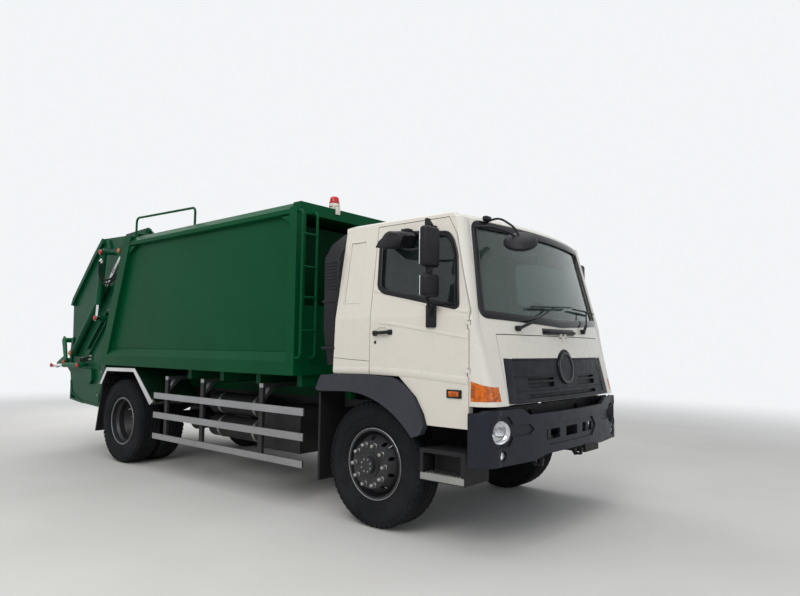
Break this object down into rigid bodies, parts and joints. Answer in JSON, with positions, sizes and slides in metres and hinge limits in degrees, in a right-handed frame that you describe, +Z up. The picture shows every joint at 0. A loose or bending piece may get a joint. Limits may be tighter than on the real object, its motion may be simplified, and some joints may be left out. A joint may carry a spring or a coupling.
{
  "type": "garbage truck",
  "caption": "Two-axle cab-over garbage truck with a rear-loading compactor body, tilting cab, lifting tailgate, packing blade, ejector and bin lifter.",
  "frame": {"origin": "on the ground below the middle of the truck's length and width", "axes": "+X forward along the truck, +Y to its left, +Z up"},
  "size_m": [8.04, 2.88, 3.1818],
  "materials": {
    "white_paint": "gloss",
    "green_paint": "gloss",
    "chassis_paint": "satin",
    "rim_paint": "satin",
    "dark_plastic": "matt",
    "bumper_plastic": "satin",
    "tyre_rubber": "matt",
    "flap_rubber": "matt",
    "window_glass": "clear",
    "lamp_glass": "clear",
    "amber_lens": "clear",
    "red_lens": "gloss",
    "guard_metal": "satin",
    "stainless": "brushed",
    "rod_chrome": "polished",
    "seat_fabric": "matt"
  },
  "bodies": {
    "chassis": {"chassis_frame": "chassis_paint", "suspension": "chassis_paint", "driveline": "chassis_paint", "frame_equipment": "chassis_paint", "side_guards": "guard_metal", "rear_mudguards": "stainless", "steps_and_flaps": "dark_plastic", "bumper": "bumper_plastic", "headlamps": "lamp_glass", "body_floor": "green_paint", "body_sides": "green_paint", "body_roof": "green_paint", "body_front_frame": "green_paint", "body_rear_frame": "green_paint", "ladder": "green_paint", "beacon": "red_lens"},
    "cab": {"cab_floor": "white_paint", "cab_sides": "white_paint", "cab_rear": "white_paint", "cab_roof": "white_paint", "cab_front": "white_paint", "cab_glass": "window_glass", "dashboard": "dark_plastic", "seats": "seat_fabric", "wheel_arches": "dark_plastic", "corner_lamps": "amber_lens", "cab_fittings": "dark_plastic"},
    "front_lid": {"front_lid": "white_paint", "grille": "bumper_plastic"},
    "ejector": {"ejector": "green_paint"},
    "eject_stage_1": {"eject_stage_1": "rod_chrome"},
    "eject_stage_2": {"eject_stage_2": "rod_chrome"},
    "tailgate": {"tailgate": "green_paint"},
    "carriage": {"carriage": "green_paint"},
    "sweeper": {"sweeper": "green_paint"},
    "bin_lifter": {"bin_lifter": "green_paint"},
    "door_left": {"door_left": "white_paint", "door_glass_left": "window_glass", "mirrors_left": "dark_plastic"},
    "knuckle_left": {"knuckle_left": "chassis_paint"},
    "wheel_front_left": {"wheel_front_left": "rim_paint", "tyre_front_left": "tyre_rubber"},
    "wheel_rear_left": {"wheel_rear_left": "rim_paint", "tyre_rear_left": "tyre_rubber"},
    "door_right": {"door_right": "white_paint", "door_glass_right": "window_glass", "mirrors_right": "dark_plastic"},
    "knuckle_right": {"knuckle_right": "chassis_paint"},
    "wheel_front_right": {"wheel_front_right": "rim_paint", "tyre_front_right": "tyre_rubber"},
    "wheel_rear_right": {"wheel_rear_right": "rim_paint", "tyre_rear_right": "tyre_rubber"},
    "lift_barrels": {"lift_barrels": "green_paint"},
    "lift_rods": {"lift_rods": "rod_chrome"},
    "press_barrels": {"press_barrels": "green_paint"},
    "press_rods": {"press_rods": "rod_chrome"},
    "sweep_barrels": {"sweep_barrels": "green_paint"},
    "sweep_rods": {"sweep_rods": "rod_chrome"},
    "bin_barrels": {"bin_barrels": "green_paint"},
    "bin_rods": {"bin_rods": "rod_chrome"}
  },
  "joints": [
    {"name": "steering_left", "type": "hinge", "parent": "chassis", "child": "knuckle_left", "pos_m": [2.76, 0.87, 0.525], "axis": [0, 0, 1], "range_deg": [-38, 38]},
    {"name": "roll_front_left", "type": "hinge", "parent": "knuckle_left", "child": "wheel_front_left", "pos_m": [2.76, 1.025, 0.525], "axis": [0, 1, 0], "continuous": true},
    {"name": "roll_rear_left", "type": "hinge", "parent": "chassis", "child": "wheel_rear_left", "pos_m": [-1.57, 0.9175, 0.525], "axis": [0, 1, 0], "continuous": true},
    {"name": "door_left", "type": "hinge", "parent": "cab", "child": "door_left", "pos_m": [3.753, 1.203, 1.3], "axis": [0, 0, -1], "range_deg": [0, 65]},
    {"name": "steering_right", "type": "hinge", "parent": "chassis", "child": "knuckle_right", "pos_m": [2.76, -0.87, 0.525], "axis": [0, 0, 1], "range_deg": [-38, 38]},
    {"name": "roll_front_right", "type": "hinge", "parent": "knuckle_right", "child": "wheel_front_right", "pos_m": [2.76, -1.025, 0.525], "axis": [0, 1, 0], "continuous": true},
    {"name": "roll_rear_right", "type": "hinge", "parent": "chassis", "child": "wheel_rear_right", "pos_m": [-1.57, -0.9175, 0.525], "axis": [0, 1, 0], "continuous": true},
    {"name": "door_right", "type": "hinge", "parent": "cab", "child": "door_right", "pos_m": [3.753, -1.203, 1.3], "axis": [0, 0, 1], "range_deg": [0, 65]},
    {"name": "cab_tilt", "type": "hinge", "parent": "chassis", "child": "cab", "pos_m": [3.93, 0, 0.905], "axis": [0, 1, 0], "range_deg": [0, 48]},
    {"name": "front_lid", "type": "hinge", "parent": "cab", "child": "front_lid", "pos_m": [3.932, 0, 1.612], "axis": [0, -1, 0], "range_deg": [0, 70]},
    {"name": "tailgate_lift", "type": "hinge", "parent": "chassis", "child": "tailgate", "pos_m": [-1.67, 0, 3.04], "axis": [0, 1, 0], "range_deg": [0, 85]},
    {"name": "carriage_slide", "type": "slide", "parent": "tailgate", "child": "carriage", "axis": [-0.7306, 0, -0.6828], "range_m": [0, 0.62]},
    {"name": "sweeper_turn", "type": "hinge", "parent": "carriage", "child": "sweeper", "pos_m": [-2.44, 0, 1.865], "axis": [0, 1, 0], "range_deg": [0, 75]},
    {"name": "bin_lift", "type": "hinge", "parent": "tailgate", "child": "bin_lifter", "pos_m": [-3.682, 0, 1.225], "axis": [0, -1, 0], "range_deg": [0, 100]},
    {"name": "ejector_slide", "type": "slide", "parent": "chassis", "child": "ejector", "axis": [-1, 0, 0], "range_m": [0, 2.4]},
    {"name": "eject_stage_1", "type": "slide", "parent": "chassis", "child": "eject_stage_1", "axis": [-1, 0, 0], "range_m": [0, 0.81]},
    {"name": "eject_stage_2", "type": "slide", "parent": "chassis", "child": "eject_stage_2", "axis": [-1, 0, 0], "range_m": [0, 1.61]},
    {"name": "lift_barrel", "type": "hinge", "parent": "tailgate", "child": "lift_barrels", "pos_m": [-3.377, 0, 1.366], "axis": [0, 1, 0], "range_deg": [0, 9.22]},
    {"name": "lift_rod", "type": "slide", "parent": "lift_barrels", "child": "lift_rods", "axis": [0.7158, 0, 0.6983], "range_m": [0, 0.3934]},
    {"name": "press_barrel", "type": "hinge", "parent": "tailgate", "child": "press_barrels", "pos_m": [-2.33, 0, 2.775], "axis": [0, 1, 0], "range_deg": [0, 16.32]},
    {"name": "press_rod", "type": "slide", "parent": "press_barrels", "child": "press_rods", "axis": [-0.12, 0, -0.9928], "range_m": [0, 0.5413]},
    {"name": "sweep_barrel", "type": "hinge", "parent": "carriage", "child": "sweep_barrels", "pos_m": [-2.315, 0, 2.665], "axis": [0, 1, 0], "range_deg": [0, 5.36]},
    {"name": "sweep_rod", "type": "slide", "parent": "sweep_barrels", "child": "sweep_rods", "axis": [-0.3193, 0, -0.9476], "range_m": [-0.2625, 0]},
    {"name": "bin_barrel", "type": "hinge", "parent": "tailgate", "child": "bin_barrels", "pos_m": [-3.013, 0, 1.198], "axis": [0, 1, 0], "range_deg": [-22.93, 0]},
    {"name": "bin_rod", "type": "slide", "parent": "bin_barrels", "child": "bin_rods", "axis": [-0.9996, 0, -0.027], "range_m": [-0.3496, 0]}
  ],
  "couplings": [
    {"joint": "steering_right", "follows": "steering_left", "ratio": 1},
    {"joint": "eject_stage_1", "follows": "ejector_slide", "ratio": 0.33333},
    {"joint": "eject_stage_2", "follows": "ejector_slide", "ratio": 0.66667},
    {"joint": "lift_barrel", "follows": "tailgate_lift", "ratio": 0.10638},
    {"joint": "lift_rod", "follows": "tailgate_lift", "m_per_rad": 0.25997},
    {"joint": "press_barrel", "follows": "carriage_slide", "rad_per_m": 0.45036},
    {"joint": "press_rod", "follows": "carriage_slide", "ratio": 0.85595},
    {"joint": "sweep_barrel", "follows": "sweeper_turn", "ratio": 0.070091},
    {"joint": "sweep_rod", "follows": "sweeper_turn", "m_per_rad": -0.19664},
    {"joint": "bin_barrel", "follows": "bin_lift", "ratio": -0.22484},
    {"joint": "bin_rod", "follows": "bin_lift", "m_per_rad": -0.19636}
  ]
}
